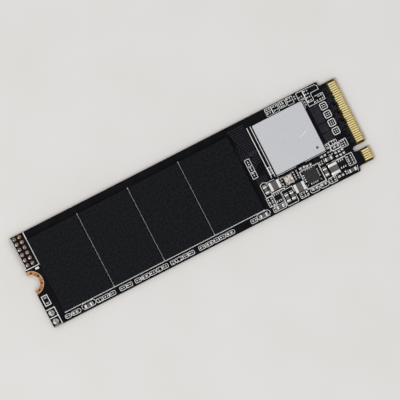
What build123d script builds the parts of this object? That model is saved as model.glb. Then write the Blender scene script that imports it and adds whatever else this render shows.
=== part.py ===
"""A bare, single-sided M.2 2280 solid state drive with an M key, in millimetres.

+X runs along the card towards the edge contacts, +Y across it and +Z up from its underside.
The origin is the middle of the underside.
"""

from build123d import *
import os

# Card outline
card_length = 80.0
card_width = 22.0
board_thickness = 0.8
corner_radius = 0.3
tongue_width = 19.85
tongue_length = 4.0
shoulder_radius = 0.5
bevel_length = 0.4
bevel_depth = 0.12

# Key notch, measured from the card's centre line
key_center = -6.125
key_width = 1.2
key_depth = 3.5

# Edge contacts, counted outwards from the key
copper_thickness = 0.04
contact_pitch = 0.5
contact_width = 0.35
contact_reach = 2.0
contact_margin = 0.6
short_first_step = 1.125
long_first_step = 1.375

# Screw notch and its ground ring
notch_radius = 1.75
ring_width = 1.0
via_diameter = 0.4
via_count = 4
via_spread = 132.0

# Soldered round pads at the screw end
header_pitch = 1.27
header_columns = 2
header_rows = 6
header_pad_radius = 0.46
header_rear_gap = 1.1
header_far_gap = 0.65
power_pad_radius = 0.7
power_pad_pitch = 2.1
power_pad_rear_gap = 0.95
power_pad_near_gap = 1.15
pad_height = 0.12
pad_sides = 24

# Flash packages
flash_length = 12.0
flash_width = 18.0
flash_gap = 0.45
flash_rear_gap = 3.7
flash_near_gap = 2.15
flash_zone_back = 26.2
flash_substrate = 0.22
flash_mould = 0.54
flash_ball_pitch = 1.0
flash_ball_inset = 1.0
flash_ball_radius = 0.22

# Controller
controller_size = 12.1
controller_back = 15.1
controller_center = 2.73
controller_corner = 0.25
controller_substrate = 0.35
controller_lid_height = 0.75
controller_lid_edge = 0.06
controller_ball_pitch = 0.8
controller_ball_inset = 0.65
controller_ball_radius = 0.2
pin_mark_radius = 0.3
pin_mark_depth = 0.03
pin_mark_inset = 1.4
ball_height = 0.25

# Power manager, a leadless package with terminals on its four sides
manager_size = 3.0
manager_height = 0.75
manager_back = 14.25
manager_clearance = 3.58
manager_per_side = 4
manager_pad_size = 1.7
terminal_pitch = 0.5
terminal_width = 0.24
terminal_length = 0.4
terminal_proud = 0.12
terminal_height = 0.2

# Six-lead load switches
switch_length = 1.6
switch_width = 1.2
switch_height = 0.55
switch_per_side = 3
switch_lead_width = 0.22
switch_lead_length = 0.45
switch_lead_proud = 0.22
switch_lead_height = 0.13

# Timing crystal
crystal_size = 2.0
crystal_base_height = 0.35
crystal_lid_height = 0.25
crystal_lid_margin = 0.15
crystal_back = 19.1
crystal_near_gap = 5.65

# Small black chips
small_chip_height = 0.45
converter_length = 1.5
converter_width = 1.0
converter_back = 11.8
beside_controller = 0.58
memory_length = 1.2
memory_width = 0.9
memory_back = 5.4
memory_far_gap = 0.95

# Chip parts: length, width, height and end terminal of each size
inductor_size = (2.5, 2.0, 1.0, 0.6)
large_size = (1.6, 0.8, 0.8, 0.35)
medium_size = (1.0, 0.5, 0.5, 0.25)
small_size = (0.6, 0.3, 0.3, 0.15)
terminal_step = 0.01

# Printed legend
legend_thickness = 0.02
legend_line = 0.16
legend_spot = (0.85, 0.45)
legend_edge_gap = 0.15
header_frame_gap = 0.9
header_frame_side = 1.13
power_frame_side = 1.15
power_frame_gap = 0.95
controller_line_gap = 0.35
controller_line_pitch = 0.8
coupling_frame_size = 1.62
coupling_frame_corner = 0.35
manager_frame_rear = 2.05
manager_frame_front = 2.45
manager_frame_far = 1.8
manager_frame_near = 2.4

# Faces and edges that the pieces are placed from
contact_x = card_length / 2
rear_x = -card_length / 2
near_y = -card_width / 2
far_y = card_width / 2
top_z = board_thickness
shoulder_x = contact_x - tongue_length
package_z = top_z + ball_height
notch_axis = Axis((rear_x, 0, 0), (0, 0, 1))

os.makedirs("parts", exist_ok=True)


def save(piece, name):
    """Labels a finished piece and writes its STEP file."""
    piece.part.label = name
    export_step(piece.part, f"parts/{name}.step")


def near_spot(back, inward, turn=0):
    """A place back from the contact edge and in from the near long edge."""
    return Location((contact_x - back, near_y + inward), turn)


def far_spot(back, inward, turn=0):
    """A place back from the contact edge and in from the far long edge."""
    return Location((contact_x - back, far_y - inward), turn)


def middle_spot(back, across, turn=0):
    """A place back from the contact edge and across from the centre line."""
    return Location((contact_x - back, across), turn)


# Edge contacts, let into the board's faces
def contact_lines(first_step, side):
    """Centre lines of the contacts on one side of the key, as far out as the tongue takes them."""
    lines = []
    line = key_center + side * first_step
    while abs(line) <= tongue_width / 2 - contact_margin:
        lines.append(line)
        line += side * contact_pitch
    return lines


def contact_row(lines, low_z):
    """One group of flat contacts, each a solid of its own."""
    with BuildPart() as row:
        with BuildSketch(Plane.XY.offset(low_z)):
            with Locations(*[(contact_x - bevel_length, line) for line in lines]):
                Rectangle(contact_reach - bevel_length, contact_width, align=(Align.MAX, Align.CENTER))
        extrude(amount=copper_thickness)
    return row


top_copper_z = top_z - copper_thickness
contacts = {
    "main_contacts_top": contact_row(contact_lines(long_first_step, 1), top_copper_z),
    "key_contacts_top": contact_row(contact_lines(short_first_step, -1), top_copper_z),
    "main_contacts_bottom": contact_row(contact_lines(short_first_step, 1), 0),
    "key_contacts_bottom": contact_row(contact_lines(long_first_step, -1), 0),
}
for contact_name, row in contacts.items():
    save(row, contact_name)

# Ground ring: one flange let into each face of the board, round the half-round notch
with BuildPart() as screw_ground_ring:
    for low_z in (0, top_copper_z):
        with BuildSketch(Plane(origin=(rear_x, 0, low_z), x_dir=(0, -1, 0), z_dir=(-1, 0, 0))):
            with Locations((notch_radius, 0)):
                Rectangle(ring_width, copper_thickness, align=Align.MIN)
        revolve(axis=notch_axis, revolution_arc=180)
    plain_ring = screw_ground_ring.part
    via_step = via_spread / (via_count - 1)
    via_circle_radius = notch_radius + ring_width / 2
    with BuildSketch(Plane.XY.offset(top_copper_z)):
        with Locations((rear_x, 0)):
            with PolarLocations(via_circle_radius, via_count, -via_spread / 2, via_step * via_count):
                Circle(via_diameter / 2)
    extrude(amount=copper_thickness, mode=Mode.SUBTRACT)
save(screw_ground_ring, "screw_ground_ring")

# Circuit board, with a shallow pocket for every contact and for the ring
with BuildPart() as circuit_board:
    with BuildSketch() as outline:
        with Locations((rear_x, 0)):
            Rectangle(card_length - tongue_length, card_width, align=(Align.MIN, Align.CENTER))
        fillet(outline.vertices(), corner_radius)
        with Locations((contact_x, 0)):
            Rectangle(tongue_length + corner_radius, tongue_width, align=(Align.MAX, Align.CENTER))
        shoulders = outline.vertices().filter_by(
            lambda v: abs(v.X - shoulder_x) < 0.01 and abs(v.Y) < tongue_width / 2 + 0.01
        )
        fillet(shoulders, shoulder_radius)
        key_end_x = contact_x - key_depth + key_width / 2
        with Locations((contact_x, key_center)):
            Rectangle(contact_x - key_end_x, key_width, align=(Align.MAX, Align.CENTER), mode=Mode.SUBTRACT)
        with Locations((key_end_x, key_center)):
            Circle(key_width / 2, mode=Mode.SUBTRACT)
        with Locations((rear_x, 0)):
            Circle(notch_radius, mode=Mode.SUBTRACT)
    extrude(amount=board_thickness)
    with BuildSketch(Plane.XZ):
        for face_z, inward in ((top_z, -1), (0, 1)):
            with BuildLine():
                Polyline(
                    (contact_x - bevel_length, face_z),
                    (contact_x, face_z),
                    (contact_x, face_z + inward * bevel_depth),
                    close=True,
                )
            make_face()
    extrude(amount=card_width / 2, both=True, mode=Mode.SUBTRACT)
    for row in contacts.values():
        add(row.part, mode=Mode.SUBTRACT)
    add(plain_ring, mode=Mode.SUBTRACT)
save(circuit_board, "circuit_board")


# Soldered round pads at the screw end
def round_pads(radius, centers):
    """Round pads that stand proud of the board by their solder, their rims drawn in short straight steps."""
    with BuildPart() as pads:
        with BuildSketch(Plane.XY.offset(top_z)):
            with Locations(*centers):
                RegularPolygon(radius, pad_sides)
        extrude(amount=pad_height)
    return pads


header_centers = [
    (rear_x + header_rear_gap + column * header_pitch, far_y - header_far_gap - row * header_pitch)
    for column in range(header_columns)
    for row in range(header_rows)
]
save(round_pads(header_pad_radius, header_centers), "test_header_pads")
power_pad_x = rear_x + power_pad_rear_gap
power_pad_y = near_y + power_pad_near_gap
power_centers = [(power_pad_x, power_pad_y), (power_pad_x, power_pad_y + power_pad_pitch)]
save(round_pads(power_pad_radius, power_centers), "power_test_pads")


# Ball grid packages
def slab(center, size, low_z, height):
    """A flat rectangular piece."""
    with BuildPart() as piece:
        with BuildSketch(Plane.XY.offset(low_z)):
            with Locations(center):
                Rectangle(*size)
        extrude(amount=height)
    return piece


def outer_balls(center, size, pitch, inset, radius):
    """The outermost row of solder balls all round a package, each drawn as a four-sided post."""
    columns = int((size[0] - 2 * inset) / pitch) + 1
    rows = int((size[1] - 2 * inset) / pitch) + 1
    places = [
        (center[0] + (i - (columns - 1) / 2) * pitch, center[1] + (j - (rows - 1) / 2) * pitch)
        for i in range(columns)
        for j in range(rows)
        if i in (0, columns - 1) or j in (0, rows - 1)
    ]
    with BuildPart() as balls:
        with BuildSketch(Plane.XY.offset(top_z)):
            with Locations(*places):
                RegularPolygon(radius, 4)
        extrude(amount=ball_height)
    return balls


flash_start_x = rear_x + flash_rear_gap
flash_near_y = near_y + flash_near_gap
flash_step = flash_length + flash_gap
flash_count = int((contact_x - flash_zone_back - flash_start_x + flash_gap) / flash_step)
flash_mould_z = package_z + flash_substrate
for i in range(flash_count):
    flash_center = (flash_start_x + i * flash_step + flash_length / 2, flash_near_y + flash_width / 2)
    flash_size = (flash_length, flash_width)
    balls = outer_balls(flash_center, flash_size, flash_ball_pitch, flash_ball_inset, flash_ball_radius)
    save(balls, f"flash_{i + 1}_solder_balls")
    save(slab(flash_center, flash_size, package_z, flash_substrate), f"flash_{i + 1}_substrate")
    save(slab(flash_center, flash_size, flash_mould_z, flash_mould), f"flash_{i + 1}_mould")

controller_spot = (contact_x - controller_back, controller_center)
controller_low_y = controller_center - controller_size / 2
controller_high_y = controller_center + controller_size / 2
controller_square = (controller_size, controller_size)
controller_balls = outer_balls(
    controller_spot, controller_square, controller_ball_pitch, controller_ball_inset, controller_ball_radius
)
save(controller_balls, "controller_solder_balls")
save(slab(controller_spot, controller_square, package_z, controller_substrate), "controller_substrate")
lid_z = package_z + controller_substrate
with BuildPart() as controller_lid:
    with BuildSketch(Plane.XY.offset(lid_z)):
        with Locations(controller_spot):
            RectangleRounded(*controller_square, controller_corner)
    extrude(amount=controller_lid_height)
    lid_top = controller_lid.faces().sort_by(Axis.Z)[-1]
    chamfer(lid_top.edges(), controller_lid_edge)
    mark_offset = controller_size / 2 - pin_mark_inset
    with BuildSketch(Plane.XY.offset(lid_z + controller_lid_height)):
        with Locations((controller_spot[0] + mark_offset, controller_spot[1] - mark_offset)):
            Circle(pin_mark_radius)
    extrude(amount=-pin_mark_depth, mode=Mode.SUBTRACT)
save(controller_lid, "controller_lid")


def under_controller(back, clearance, turn=0):
    """A place back from the contact edge and off the controller's near edge."""
    return Location((contact_x - back, controller_low_y - clearance), turn)


# Leaded and leadless chips
def edge_terminals(count, half_span, length, proud, width):
    """Terminals along two opposite sides of a chip, as one sketch centred on the chip."""
    with BuildSketch() as terminals:
        with GridLocations(2 * (half_span + proud) - length, terminal_pitch, 2, count):
            Rectangle(length, width)
    return terminals.sketch


manager_terminals = edge_terminals(
    manager_per_side, manager_size / 2, terminal_length, terminal_proud, terminal_width
)
manager_spot = under_controller(manager_back, manager_clearance)
with BuildPart() as power_manager_terminals:
    with BuildSketch(Plane.XY.offset(top_z)):
        with Locations(manager_spot):
            add(manager_terminals)
            add(manager_terminals, rotation=90)
            Rectangle(manager_pad_size, manager_pad_size)
    extrude(amount=terminal_height)
save(power_manager_terminals, "power_manager_terminals")
with BuildPart() as power_manager:
    with BuildSketch(Plane.XY.offset(top_z)):
        with Locations(manager_spot):
            Rectangle(manager_size, manager_size)
    extrude(amount=manager_height)
    add(power_manager_terminals.part, mode=Mode.SUBTRACT)
save(power_manager, "power_manager")

switch_terminals = edge_terminals(
    switch_per_side, switch_width / 2, switch_lead_length, switch_lead_proud, switch_lead_width
)
switch_spots = [near_spot(23.05, 3.17, 90), near_spot(7.05, 3.37, 90)]
with BuildPart() as load_switch_leads:
    with BuildSketch(Plane.XY.offset(top_z)):
        with Locations(*switch_spots):
            add(switch_terminals)
    extrude(amount=switch_lead_height)
save(load_switch_leads, "load_switch_leads")
with BuildPart() as load_switches:
    with BuildSketch(Plane.XY.offset(top_z)):
        with Locations(*switch_spots):
            Rectangle(switch_width, switch_length)
    extrude(amount=switch_height)
    add(load_switch_leads.part, mode=Mode.SUBTRACT)
save(load_switches, "load_switches")

# Timing crystal: ceramic base and welded lid
crystal_spot = (contact_x - crystal_back, near_y + crystal_near_gap)
crystal_lid_side = crystal_size - 2 * crystal_lid_margin
crystal_lid_size = (crystal_lid_side, crystal_lid_side)
save(slab(crystal_spot, (crystal_size, crystal_size), top_z, crystal_base_height), "crystal_base")
crystal_lid_z = top_z + crystal_base_height
save(slab(crystal_spot, crystal_lid_size, crystal_lid_z, crystal_lid_height), "crystal_lid")

# Small black chips
converter_spot = (contact_x - converter_back, controller_low_y - beside_controller - converter_width / 2)
save(slab(converter_spot, (converter_length, converter_width), top_z, small_chip_height), "small_converter")
memory_spot = (contact_x - memory_back, far_y - memory_far_gap)
save(slab(memory_spot, (memory_length, memory_width), top_z, small_chip_height), "settings_memory")


# Chip parts: a ceramic body between two end terminals
def chip_bodies(size, places):
    """The bodies of a set of chip parts of one size."""
    length, width, height, terminal = size
    with BuildPart() as bodies:
        with BuildSketch(Plane.XY.offset(top_z)):
            with Locations(*places):
                Rectangle(length - 2 * terminal, width - 2 * terminal_step)
        extrude(amount=height - terminal_step)
    return bodies


def chip_terminals(size, places):
    """The end terminals of a set of chip parts of one size."""
    length, width, height, terminal = size
    with BuildPart() as terminals:
        with BuildSketch(Plane.XY.offset(top_z)):
            with Locations(*places):
                with GridLocations(length - terminal, width, 2, 1):
                    Rectangle(terminal, width)
        extrude(amount=height)
    return terminals


def save_chip_parts(size, places, bodies_name, terminals_name):
    """Writes the bodies and the terminals of a set of chip parts."""
    save(chip_bodies(size, places), bodies_name)
    save(chip_terminals(size, places), terminals_name)


inductor_places = [near_spot(22.5, 5.9), near_spot(17.75, 3.05), near_spot(9.15, 3.25, 90)]
save_chip_parts(inductor_size, inductor_places, "inductor_bodies", "inductor_terminals")

# The near row sits below the flash packages: distance from a package's rear edge, distance in, turn
near_row_inset = 1.0
large_row_inset = 1.1
flash_row_large = {0: [5.35], 3: [11.3]}
flash_row_medium = {0: [2.0], 1: [6.75], 2: [10.25], 3: [2.85]}
flash_row_small = {
    0: [(0.25, 0), (7.85, 90), (8.5, 90), (9.7, 0), (11.05, 0)],
    1: [(1.3, 0), (2.85, 0), (5.15, 0), (8.65, 0), (10.15, 90), (11.65, 0)],
    2: [(1.2, 90), (2.35, 90), (3.2, 90), (4.45, 0), (5.75, 0), (8.45, 0), (11.85, 0)],
    3: [(1.0, 0), (9.0, 0)],
}


def near_row(row, inset=near_row_inset):
    """Places of the parts that stand in the near row beside each flash package."""
    places = []
    for i in range(flash_count):
        for item in row.get(i, []):
            along, turn = item if isinstance(item, tuple) else (item, 0)
            x = flash_start_x + i * flash_step + along
            places.append(Location((x, near_y + inset), turn))
    return places


large_places = near_row(flash_row_large, large_row_inset) + [
    near_spot(24.65, 5.85, 90),
    near_spot(23.5, 1.15),
    near_spot(21.2, 2.15, 90),
    near_spot(19.95, 2.15, 90),
    near_spot(11.05, 3.4, 90),
    under_controller(9.3, 1.98),
    near_spot(5.65, 1.1),
]
medium_places = near_row(flash_row_medium) + [
    under_controller(15.35, 1.1),
    near_spot(13.8, 6.4),
    under_controller(10.05, 0.93),
    near_spot(14.85, 1.15),
    near_spot(12.7, 1.15),
    near_spot(8.4, 1.1),
    near_spot(6.5, 7.4),
]
resistor_places = [near_spot(7.3, 5.75, 90), near_spot(6.45, 5.7, 90), near_spot(5.65, 5.8, 90)]
coupling_pitch = 2.05
coupling_first = -0.6
coupling_back = 4.98
coupling_pairs = 4
coupling_gap = 0.48
coupling_places = [
    middle_spot(coupling_back + side * coupling_gap / 2, coupling_first + i * coupling_pitch, 90)
    for i in range(coupling_pairs)
    for side in (-1, 1)
]
power_small = [
    near_spot(25.2, 3.3, 90),
    near_spot(24.45, 3.35, 90),
    near_spot(25.15, 2.4, 90),
    near_spot(24.5, 2.4, 90),
    near_spot(24.8, 1.1, 90),
    near_spot(20.65, 6.3, 90),
    near_spot(20.7, 4.95, 90),
    near_spot(17.6, 6.3, 90),
    near_spot(16.8, 6.3, 90),
    near_spot(17.6, 5.2, 90),
    near_spot(16.85, 5.2, 90),
    near_spot(18.1, 1.15, 90),
    near_spot(17.4, 1.15, 90),
    near_spot(16.75, 1.15, 90),
    under_controller(11.45, 2.08, 90),
    under_controller(10.9, 2.08, 90),
    near_spot(10.75, 1.15, 90),
    near_spot(9.95, 1.15, 90),
    near_spot(7.1, 1.2, 90),
    near_spot(8.4, 6.95),
    near_spot(8.35, 6.3),
    near_spot(5.4, 3.85, 90),
    near_spot(4.6, 3.9, 90),
    near_spot(5.4, 2.85, 90),
    near_spot(4.65, 2.8, 90),
    near_spot(8.25, 8.25, 90),
    near_spot(6.95, 8.45, 90),
    near_spot(6.4, 8.45, 90),
    near_spot(5.05, 7.55, 90),
    near_spot(4.5, 7.55, 90),
    near_spot(4.75, 6.8),
]
far_small = [
    far_spot(16.3, 0.6),
    far_spot(16.4, 1.45),
    far_spot(14.65, 0.65),
    far_spot(14.65, 1.45),
    far_spot(13.2, 1.15, 90),
    far_spot(12.7, 1.15, 90),
    far_spot(11.55, 0.8, 90),
    far_spot(10.95, 0.8, 90),
    far_spot(9.85, 1.0, 90),
    far_spot(8.7, 1.4),
    far_spot(7.1, 0.7),
    far_spot(7.1, 1.45),
    far_spot(7.1, 2.2),
    far_spot(7.1, 3.0),
    far_spot(5.95, 3.8),
    far_spot(4.6, 3.75),
    far_spot(4.65, 3.0),
    far_spot(8.3, 3.15, 90),
]
clock_small = [middle_spot(25.5, 1.8, 90), middle_spot(25.5, 0.45, 90), middle_spot(25.5, -0.9, 90)]
small_places = near_row(flash_row_small) + power_small + far_small + clock_small
save_chip_parts(large_size, large_places, "large_capacitor_bodies", "large_capacitor_terminals")
save_chip_parts(medium_size, medium_places, "medium_capacitor_bodies", "medium_capacitor_terminals")
save_chip_parts(medium_size, resistor_places, "resistor_bodies", "resistor_terminals")
save_chip_parts(small_size, small_places, "small_capacitor_bodies", "small_capacitor_terminals")
save_chip_parts(small_size, coupling_places, "coupling_capacitor_bodies", "coupling_capacitor_terminals")


# Printed legend: the bold lines and frames, as a thin layer of ink
def printed_line(start, end):
    """One straight line along X or Y with square ends, in the sketch that is open."""
    with Locations(((start[0] + end[0]) / 2, (start[1] + end[1]) / 2)):
        Rectangle(abs(end[0] - start[0]) + legend_line, abs(end[1] - start[1]) + legend_line)


def printed_frame(low, high):
    """A closed rectangular frame, in the sketch that is open."""
    printed_line(low, (high[0], low[1]))
    printed_line(low, (low[0], high[1]))
    printed_line((low[0], high[1]), high)
    printed_line((high[0], low[1]), high)


header_last_x = rear_x + header_rear_gap + (header_columns - 1) * header_pitch
header_low_y = far_y - header_far_gap - (header_rows - 1) * header_pitch
header_frame_x = header_last_x + header_frame_side
header_frame_y = header_low_y - header_frame_gap
frame_rear_x = rear_x + legend_edge_gap
frame_far_y = far_y - legend_edge_gap
frame_near_y = near_y + legend_edge_gap
power_frame_x = power_pad_x + power_frame_side
power_frame_y = power_pad_y + power_pad_pitch + power_frame_gap
flash_line_y = flash_near_y - legend_edge_gap
flash_end_x = flash_start_x + flash_count * flash_step - flash_gap
controller_line_x = controller_spot[0] - controller_size / 2 - controller_line_gap
with BuildPart() as legend_lines:
    with BuildSketch(Plane.XY.offset(top_z)):
        printed_line((frame_rear_x, header_frame_y), (frame_rear_x, frame_far_y))
        printed_line((frame_rear_x, header_frame_y), (header_frame_x, header_frame_y))
        printed_line((header_frame_x, header_frame_y), (header_frame_x, frame_far_y))
        with Locations((rear_x + 2.72, header_frame_y - 0.6)):
            Rectangle(*legend_spot)
        printed_frame((rear_x + 0.55, power_frame_y + 0.9), (rear_x + 1.85, power_frame_y + 3.15))
        printed_line((power_frame_x, frame_near_y), (power_frame_x, power_frame_y))
        for line_y in (power_frame_y, power_pad_y + power_pad_pitch / 2):
            printed_line((frame_rear_x, line_y), (power_frame_x, line_y))
        for i in range(flash_count):
            package_x = flash_start_x + i * flash_step
            printed_line((package_x, flash_line_y), (package_x + flash_length, flash_line_y))
            if i > 0:
                line_x = package_x - flash_gap / 2
                printed_line((line_x, flash_line_y), (line_x, flash_near_y + flash_width))
        for i in range(2):
            line_x = controller_line_x - i * controller_line_pitch
            printed_line((line_x, controller_low_y), (line_x, controller_high_y))
        for i in range(coupling_pairs):
            with Locations(middle_spot(coupling_back, coupling_first + i * coupling_pitch)):
                RectangleRounded(coupling_frame_size, coupling_frame_size, coupling_frame_corner)
                coupling_inside = coupling_frame_size - 2 * legend_line
                Rectangle(coupling_inside, coupling_inside, mode=Mode.SUBTRACT)
        manager_x = contact_x - manager_back
        manager_y = controller_low_y - manager_clearance
        printed_frame(
            (manager_x - manager_frame_rear, manager_y - manager_frame_near),
            (manager_x + manager_frame_front, manager_y + manager_frame_far),
        )
    extrude(amount=legend_thickness)
save(legend_lines, "legend_lines")
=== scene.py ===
"""A bare M.2 2280 solid state drive, dressed over its CAD frame.

+X runs towards the edge contacts, +Y across the card and +Z up. Places are given in millimetres
from the middle of the card's underside and turned to metres where a mesh is made.
"""

import math

import bmesh
import bpy
from mathutils import Matrix, Vector


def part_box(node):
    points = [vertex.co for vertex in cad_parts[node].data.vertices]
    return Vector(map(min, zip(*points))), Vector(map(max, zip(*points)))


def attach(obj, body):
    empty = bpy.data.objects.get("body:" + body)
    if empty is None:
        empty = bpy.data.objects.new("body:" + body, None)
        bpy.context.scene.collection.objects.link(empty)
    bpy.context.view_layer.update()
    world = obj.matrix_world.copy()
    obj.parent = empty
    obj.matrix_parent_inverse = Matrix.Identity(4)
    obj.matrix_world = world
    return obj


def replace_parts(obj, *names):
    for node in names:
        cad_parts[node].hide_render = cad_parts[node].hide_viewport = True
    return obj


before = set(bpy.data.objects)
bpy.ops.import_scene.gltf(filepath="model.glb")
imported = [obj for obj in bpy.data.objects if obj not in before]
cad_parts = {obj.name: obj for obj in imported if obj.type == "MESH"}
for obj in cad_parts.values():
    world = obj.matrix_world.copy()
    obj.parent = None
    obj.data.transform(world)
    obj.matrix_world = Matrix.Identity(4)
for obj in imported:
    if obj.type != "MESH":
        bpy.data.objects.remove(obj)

bl_info = {
    "name": "Solid state drive finish",
    "version": (1, 0, 0),
    "blender": (4, 5, 0),
    "location": "View3D > Sidebar > Drive",
    "description": "Finishes, solder and print for a bare M.2 solid state drive",
    "category": "Object",
}

MM = 0.001
BODY = "root"

# Edges and levels of the CAD nodes that the pieces and the materials are placed from
BOARD_LOW, BOARD_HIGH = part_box("circuit_board")
BOARD_TOP = BOARD_HIGH.z / MM
REAR_X = BOARD_LOW.x / MM
NEAR_Y = BOARD_LOW.y / MM
CONTACT_LOW, CONTACT_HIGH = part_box("main_contacts_top")
CONTACT_REAR_X = CONTACT_LOW.x / MM
BEVEL_X = CONTACT_HIGH.x / MM
RING_LOW, RING_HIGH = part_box("screw_ground_ring")
RING_RADIUS = (RING_HIGH.y - RING_LOW.y) / 2 / MM
RING_WIDTH = 1.0
RING_MIDDLE = RING_RADIUS - RING_WIDTH / 2
HEADER_LOW, HEADER_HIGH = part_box("test_header_pads")
# The header's copper runs on past its pads, and the pads nearest the far edge are gilded.
HEADER_COPPER_FRONT = 0.5
HEADER_COPPER_SIDE = 0.3
HEADER_X = HEADER_HIGH.x / MM + HEADER_COPPER_FRONT
HEADER_Y = HEADER_LOW.y / MM - HEADER_COPPER_SIDE
GILDED_WIDTH = 1.0
GILDED_PADS_Y = HEADER_HIGH.y / MM - GILDED_WIDTH
LID_LOW, LID_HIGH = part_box("controller_lid")
PIN_MARK_RADIUS = 0.3
PIN_MARK_INSET = 1.4
PIN_MARK = (LID_HIGH.x / MM - PIN_MARK_INSET, LID_LOW.y / MM + PIN_MARK_INSET)
# How far behind the contacts the mask stops, how high it rises over a track, and how much more over a via
MASK_STOP = 0.3
MASK_RELIEF = 0.012
VIA_RELIEF = 0.004


# Colours and nodes


def linear(code):
    """An sRGB hex colour as the linear red, green, blue and alpha that shaders take."""
    channels = [int(code[i : i + 2], 16) / 255 for i in (1, 3, 5)]
    return [c / 12.92 if c <= 0.04045 else ((c + 0.055) / 1.055) ** 2.4 for c in channels] + [1.0]


def add_node(tree, kind, inputs=None, give=0, **settings):
    """Adds a shader node with its settings, links or fills its inputs, and gives one of its outputs."""
    made = tree.nodes.new("ShaderNode" + kind)
    for name, value in settings.items():
        setattr(made, name, value)
    for name, value in (inputs or {}).items():
        if isinstance(value, bpy.types.NodeSocket):
            tree.links.new(value, made.inputs[name])
        else:
            made.inputs[name].default_value = value
    return made if give is None else made.outputs[give]


def start_material(name, **surface):
    """A new material: itself, its node tree, its surface shader and the place on the part in millimetres."""
    made = bpy.data.materials.new(name)
    made.use_nodes = True
    tree = made.node_tree
    tree.nodes.clear()
    values = {key.replace("_", " "): value for key, value in surface.items()}
    shader = add_node(tree, "BsdfPrincipled", values, give=None)
    add_node(tree, "OutputMaterial", {"Surface": shader.outputs[0]}, give=None)
    place = add_node(tree, "TexCoord", give="Object")
    place = add_node(tree, "VectorMath", {0: place, 1: (1 / MM,) * 3}, operation="MULTIPLY")
    return made, tree, shader, place


def grain(tree, place, size, detail=2.0, low=0.35, high=0.65):
    """Soft spots about size millimetres across, running from 0 to 1."""
    spots = add_node(tree, "TexNoise", {"Vector": place, "Scale": 1 / size, "Detail": detail})
    return add_node(tree, "MapRange", {"Value": spots, "From Min": low, "From Max": high})


def finish_surface(tree, shader, colors, share, roughness, depth):
    """Blends colours and roughnesses by share, which also raises the surface by depth millimetres."""
    color = add_node(tree, "Mix", {0: share, 6: colors[0], 7: colors[1]}, give=2, data_type="RGBA")
    rough = add_node(tree, "MapRange", {"Value": share, "To Min": roughness[0], "To Max": roughness[1]})
    bump = add_node(tree, "Bump", {"Height": share, "Distance": depth * MM})
    for socket, name in ((color, "Base Color"), (rough, "Roughness"), (bump, "Normal")):
        tree.links.new(socket, shader.inputs[name])


def from_notch(tree, place):
    """The distance in millimetres from the axis of the screw notch."""
    x, y = add_node(tree, "SeparateXYZ", {0: place}, give=None).outputs[:2]
    offset = add_node(tree, "Math", {0: x, 1: REAR_X}, operation="SUBTRACT")
    offset = add_node(tree, "CombineXYZ", {0: offset, 1: y})
    return add_node(tree, "VectorMath", {0: offset}, give="Value", operation="LENGTH")


# Materials


def masked_laminate(finish):
    """Woven glass laminate under sprayed and cured black solder mask, routed to its outline."""
    name = "cured_solder_mask_on_glass_laminate"
    made, tree, shader, place = start_material(name, Specular_IOR_Level=0.06)
    x, y = add_node(tree, "SeparateXYZ", {0: place}, give=None).outputs[:2]
    clouds = {0: grain(tree, place, 2.5), 6: finish.mask_color, 7: linear("#101015")}
    color = add_node(tree, "Mix", clouds, give=2, data_type="RGBA")
    # Round the pads at the screw end the mask lies thin over copper and looks dark red brown.
    rear = add_node(tree, "Math", {0: x, 1: HEADER_X}, operation="LESS_THAN")
    far = add_node(tree, "Math", {0: y, 1: HEADER_Y}, operation="GREATER_THAN")
    header = add_node(tree, "Math", {0: rear, 1: far}, operation="MULTIPLY")
    # The openings in the ground ring look down on shaded copper.
    in_ring = add_node(tree, "Math", {0: from_notch(tree, place), 1: RING_RADIUS}, operation="LESS_THAN")
    # The mask runs out before the contacts, so the olive laminate and its weave show between them.
    bare = add_node(tree, "Math", {0: x, 1: CONTACT_REAR_X - MASK_STOP}, operation="GREATER_THAN")
    weave = {0: grain(tree, place, 0.25), 6: finish.laminate_color, 7: linear("#2e2610")}
    weave = add_node(tree, "Mix", weave, give=2, data_type="RGBA")
    # The ground bevel cuts through the glass cloth and is paler.
    bevel = add_node(tree, "Math", {0: x, 1: BEVEL_X}, operation="GREATER_THAN")
    cloth = {0: grain(tree, place, 0.3), 6: linear("#c6ad76"), 7: linear("#917b49")}
    cloth = add_node(tree, "Mix", cloth, give=2, data_type="RGBA")
    # The routed edge shows the glass layers as fine stripes.
    normal = add_node(tree, "NewGeometry", give="True Normal")
    upright = add_node(tree, "SeparateXYZ", {0: normal}, give=2)
    upright = add_node(tree, "Math", {0: upright}, operation="ABSOLUTE")
    edge = add_node(tree, "Math", {0: upright, 1: 0.5}, operation="LESS_THAN")
    layers = add_node(tree, "VectorMath", {0: place, 1: (1, 1, 12)}, operation="MULTIPLY")
    stripes = {0: grain(tree, layers, 1.2), 6: linear("#3d3520"), 7: linear("#7c6b45")}
    stripes = add_node(tree, "Mix", stripes, give=2, data_type="RGBA")
    brown = linear("#140907")
    for share, over in ((header, brown), (in_ring, brown), (bare, weave), (bevel, cloth), (edge, stripes)):
        color = add_node(tree, "Mix", {0: share, 6: color, 7: over}, give=2, data_type="RGBA")
    tree.links.new(color, shader.inputs["Base Color"])
    dull = add_node(tree, "Math", {0: edge, 1: bare}, operation="MAXIMUM")
    rough = add_node(tree, "MapRange", {"Value": dull, "To Min": 0.42, "To Max": 0.7})
    tree.links.new(rough, shader.inputs["Roughness"])
    # The cured mask ripples like orange peel, drawn 0.7 mm across so that it shows.
    bump = add_node(tree, "Bump", {"Height": grain(tree, place, 0.7), "Distance": 0.004 * MM})
    tree.links.new(bump, shader.inputs["Normal"])
    return made


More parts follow.
